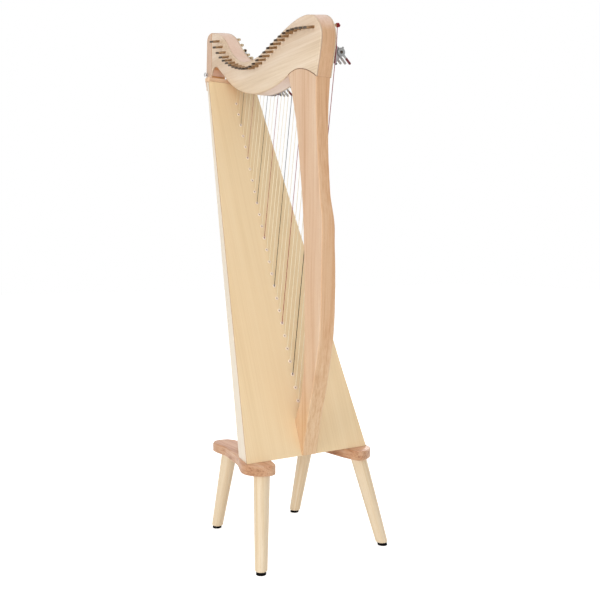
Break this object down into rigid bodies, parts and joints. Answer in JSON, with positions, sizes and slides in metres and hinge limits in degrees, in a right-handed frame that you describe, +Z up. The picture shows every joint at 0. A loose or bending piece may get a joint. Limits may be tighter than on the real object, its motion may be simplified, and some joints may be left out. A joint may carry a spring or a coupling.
{
  "type": "lever harp",
  "caption": "Floor-standing lever harp: staved soundbox on a four-legged stand, curved pillar and neck, tuned strings with pivoting sharping levers.",
  "frame": {"origin": "on the floor under the middle of the outer box", "axes": "+Z up, -Y towards the pillar (away from the player), +X the side with the strings and levers"},
  "size_m": [0.3756, 0.6164, 1.3796],
  "materials": {
    "soundboard_wood": "satin varnish, fine straight grain",
    "box_wood": "satin varnish",
    "frame_beech": "satin varnish",
    "cheek_maple": "satin varnish",
    "inner_wood": "sawn",
    "leg_wood": "satin varnish",
    "foot_rubber": "matte",
    "string": "smooth",
    "lever_metal": "satin",
    "screw_metal": "satin"
  },
  "bodies": {
    "root": {"soundboard": "soundboard_wood", "side_stave_left": "box_wood", "side_stave_right": "box_wood", "bevel_stave_left": "box_wood", "bevel_stave_right": "box_wood", "back_panel": "box_wood", "bottom_board": "inner_wood", "top_block": "inner_wood", "back_brace_1": "inner_wood", "back_brace_2": "inner_wood", "back_brace_3": "inner_wood", "top_cap": "frame_beech", "shoulder_post": "frame_beech", "strap_button": "screw_metal", "string_rib": "string", "neck_core": "frame_beech", "neck_cheek_right": "cheek_maple", "neck_cheek_left": "cheek_maple", "pillar": "frame_beech", "front_right_leg": "leg_wood", "front_right_foot": "foot_rubber", "back_right_leg": "leg_wood", "back_right_foot": "foot_rubber", "stand_screw_right_1": "screw_metal", "stand_screw_right_2": "screw_metal", "stand_board_right": "frame_beech", "front_left_leg": "leg_wood", "front_left_foot": "foot_rubber", "back_left_leg": "leg_wood", "back_left_foot": "foot_rubber", "stand_screw_left_1": "screw_metal", "stand_screw_left_2": "screw_metal", "stand_board_left": "frame_beech"},
    "lever_01": {"lever_01": "lever_metal"},
    "lever_02": {"lever_02": "lever_metal"},
    "lever_03": {"lever_03": "lever_metal"},
    "lever_04": {"lever_04": "lever_metal"},
    "lever_05": {"lever_05": "lever_metal"},
    "lever_06": {"lever_06": "lever_metal"},
    "lever_07": {"lever_07": "lever_metal"},
    "lever_08": {"lever_08": "lever_metal"},
    "lever_09": {"lever_09": "lever_metal"},
    "lever_10": {"lever_10": "lever_metal"},
    "lever_11": {"lever_11": "lever_metal"},
    "lever_12": {"lever_12": "lever_metal"},
    "lever_13": {"lever_13": "lever_metal"},
    "lever_14": {"lever_14": "lever_metal"},
    "lever_15": {"lever_15": "lever_metal"},
    "lever_16": {"lever_16": "lever_metal"},
    "lever_17": {"lever_17": "lever_metal"},
    "lever_18": {"lever_18": "lever_metal"},
    "lever_19": {"lever_19": "lever_metal"},
    "lever_20": {"lever_20": "lever_metal"},
    "lever_21": {"lever_21": "lever_metal"},
    "lever_22": {"lever_22": "lever_metal"},
    "lever_23": {"lever_23": "lever_metal"},
    "lever_24": {"lever_24": "lever_metal"},
    "lever_25": {"lever_25": "lever_metal"},
    "lever_26": {"lever_26": "lever_metal"},
    "lever_27": {"lever_27": "lever_metal"}
  },
  "joints": [
    {"name": "lever_01_pivot", "type": "hinge", "parent": "root", "child": "lever_01", "pos_m": [0.05176, 0.20003, 1.30064], "axis": [0, -0.9606, 0.2779], "range_deg": [0, 110]},
    {"name": "lever_02_pivot", "type": "hinge", "parent": "root", "child": "lever_02", "pos_m": [0.05194, 0.18305, 1.27964], "axis": [0, -0.9712, 0.2383], "range_deg": [0, 110]},
    {"name": "lever_03_pivot", "type": "hinge", "parent": "root", "child": "lever_03", "pos_m": [0.05213, 0.16597, 1.25959], "axis": [0, -0.9796, 0.201], "range_deg": [0, 110]},
    {"name": "lever_04_pivot", "type": "hinge", "parent": "root", "child": "lever_04", "pos_m": [0.05231, 0.14885, 1.24263], "axis": [0, -0.9863, 0.1648], "range_deg": [0, 110]},
    {"name": "lever_05_pivot", "type": "hinge", "parent": "root", "child": "lever_05", "pos_m": [0.0525, 0.13165, 1.22923], "axis": [0, -0.9914, 0.1306], "range_deg": [0, 110]},
    {"name": "lever_06_pivot", "type": "hinge", "parent": "root", "child": "lever_06", "pos_m": [0.05269, 0.11428, 1.21793], "axis": [0, -0.995, 0.1001], "range_deg": [0, 110]},
    {"name": "lever_07_pivot", "type": "hinge", "parent": "root", "child": "lever_07", "pos_m": [0.05287, 0.09672, 1.20789], "axis": [0, -0.9973, 0.0733], "range_deg": [0, 110]},
    {"name": "lever_08_pivot", "type": "hinge", "parent": "root", "child": "lever_08", "pos_m": [0.05306, 0.079, 1.19928], "axis": [0, -0.9988, 0.0498], "range_deg": [0, 110]},
    {"name": "lever_09_pivot", "type": "hinge", "parent": "root", "child": "lever_09", "pos_m": [0.05325, 0.06113, 1.19228], "axis": [0, -0.9996, 0.0294], "range_deg": [0, 110]},
    {"name": "lever_10_pivot", "type": "hinge", "parent": "root", "child": "lever_10", "pos_m": [0.05343, 0.04312, 1.18662], "axis": [0, -0.9999, 0.0116], "range_deg": [0, 110]},
    {"name": "lever_11_pivot", "type": "hinge", "parent": "root", "child": "lever_11", "pos_m": [0.05362, 0.02499, 1.18193], "axis": [0, -1, -0.0039], "range_deg": [0, 110]},
    {"name": "lever_12_pivot", "type": "hinge", "parent": "root", "child": "lever_12", "pos_m": [0.05381, 0.00676, 1.17901], "axis": [0, -0.9999, -0.0173], "range_deg": [0, 110]},
    {"name": "lever_13_pivot", "type": "hinge", "parent": "root", "child": "lever_13", "pos_m": [0.05399, -0.01156, 1.1789], "axis": [0, -0.9996, -0.0288], "range_deg": [0, 110]},
    {"name": "lever_14_pivot", "type": "hinge", "parent": "root", "child": "lever_14", "pos_m": [0.05418, -0.02998, 1.18196], "axis": [0, -0.9993, -0.0386], "range_deg": [0, 110]},
    {"name": "lever_15_pivot", "type": "hinge", "parent": "root", "child": "lever_15", "pos_m": [0.05436, -0.04848, 1.18677], "axis": [0, -0.9989, -0.0469], "range_deg": [0, 110]},
    {"name": "lever_16_pivot", "type": "hinge", "parent": "root", "child": "lever_16", "pos_m": [0.05455, -0.06703, 1.19183], "axis": [0, -0.9985, -0.0541], "range_deg": [0, 110]},
    {"name": "lever_17_pivot", "type": "hinge", "parent": "root", "child": "lever_17", "pos_m": [0.05474, -0.08564, 1.1977], "axis": [0, -0.9982, -0.0604], "range_deg": [0, 110]},
    {"name": "lever_18_pivot", "type": "hinge", "parent": "root", "child": "lever_18", "pos_m": [0.05492, -0.10428, 1.2037], "axis": [0, -0.9978, -0.0659], "range_deg": [0, 110]},
    {"name": "lever_19_pivot", "type": "hinge", "parent": "root", "child": "lever_19", "pos_m": [0.05511, -0.12295, 1.20893], "axis": [0, -0.9975, -0.0708], "range_deg": [0, 110]},
    {"name": "lever_20_pivot", "type": "hinge", "parent": "root", "child": "lever_20", "pos_m": [0.0553, -0.14165, 1.21362], "axis": [0, -0.9972, -0.0753], "range_deg": [0, 110]},
    {"name": "lever_21_pivot", "type": "hinge", "parent": "root", "child": "lever_21", "pos_m": [0.05548, -0.16036, 1.21778], "axis": [0, -0.9968, -0.0795], "range_deg": [0, 110]},
    {"name": "lever_22_pivot", "type": "hinge", "parent": "root", "child": "lever_22", "pos_m": [0.05567, -0.17909, 1.22086], "axis": [0, -0.9965, -0.0833], "range_deg": [0, 110]},
    {"name": "lever_23_pivot", "type": "hinge", "parent": "root", "child": "lever_23", "pos_m": [0.05585, -0.19783, 1.2219], "axis": [0, -0.9962, -0.087], "range_deg": [0, 110]},
    {"name": "lever_24_pivot", "type": "hinge", "parent": "root", "child": "lever_24", "pos_m": [0.05604, -0.21656, 1.22059], "axis": [0, -0.9959, -0.0907], "range_deg": [0, 110]},
    {"name": "lever_25_pivot", "type": "hinge", "parent": "root", "child": "lever_25", "pos_m": [0.05623, -0.2353, 1.21791], "axis": [0, -0.9955, -0.0943], "range_deg": [0, 110]},
    {"name": "lever_26_pivot", "type": "hinge", "parent": "root", "child": "lever_26", "pos_m": [0.05641, -0.25404, 1.21409], "axis": [0, -0.9952, -0.0978], "range_deg": [0, 110]},
    {"name": "lever_27_pivot", "type": "hinge", "parent": "root", "child": "lever_27", "pos_m": [0.0566, -0.27279, 1.20998], "axis": [0, -0.9949, -0.1011], "range_deg": [0, 110]}
  ]
}
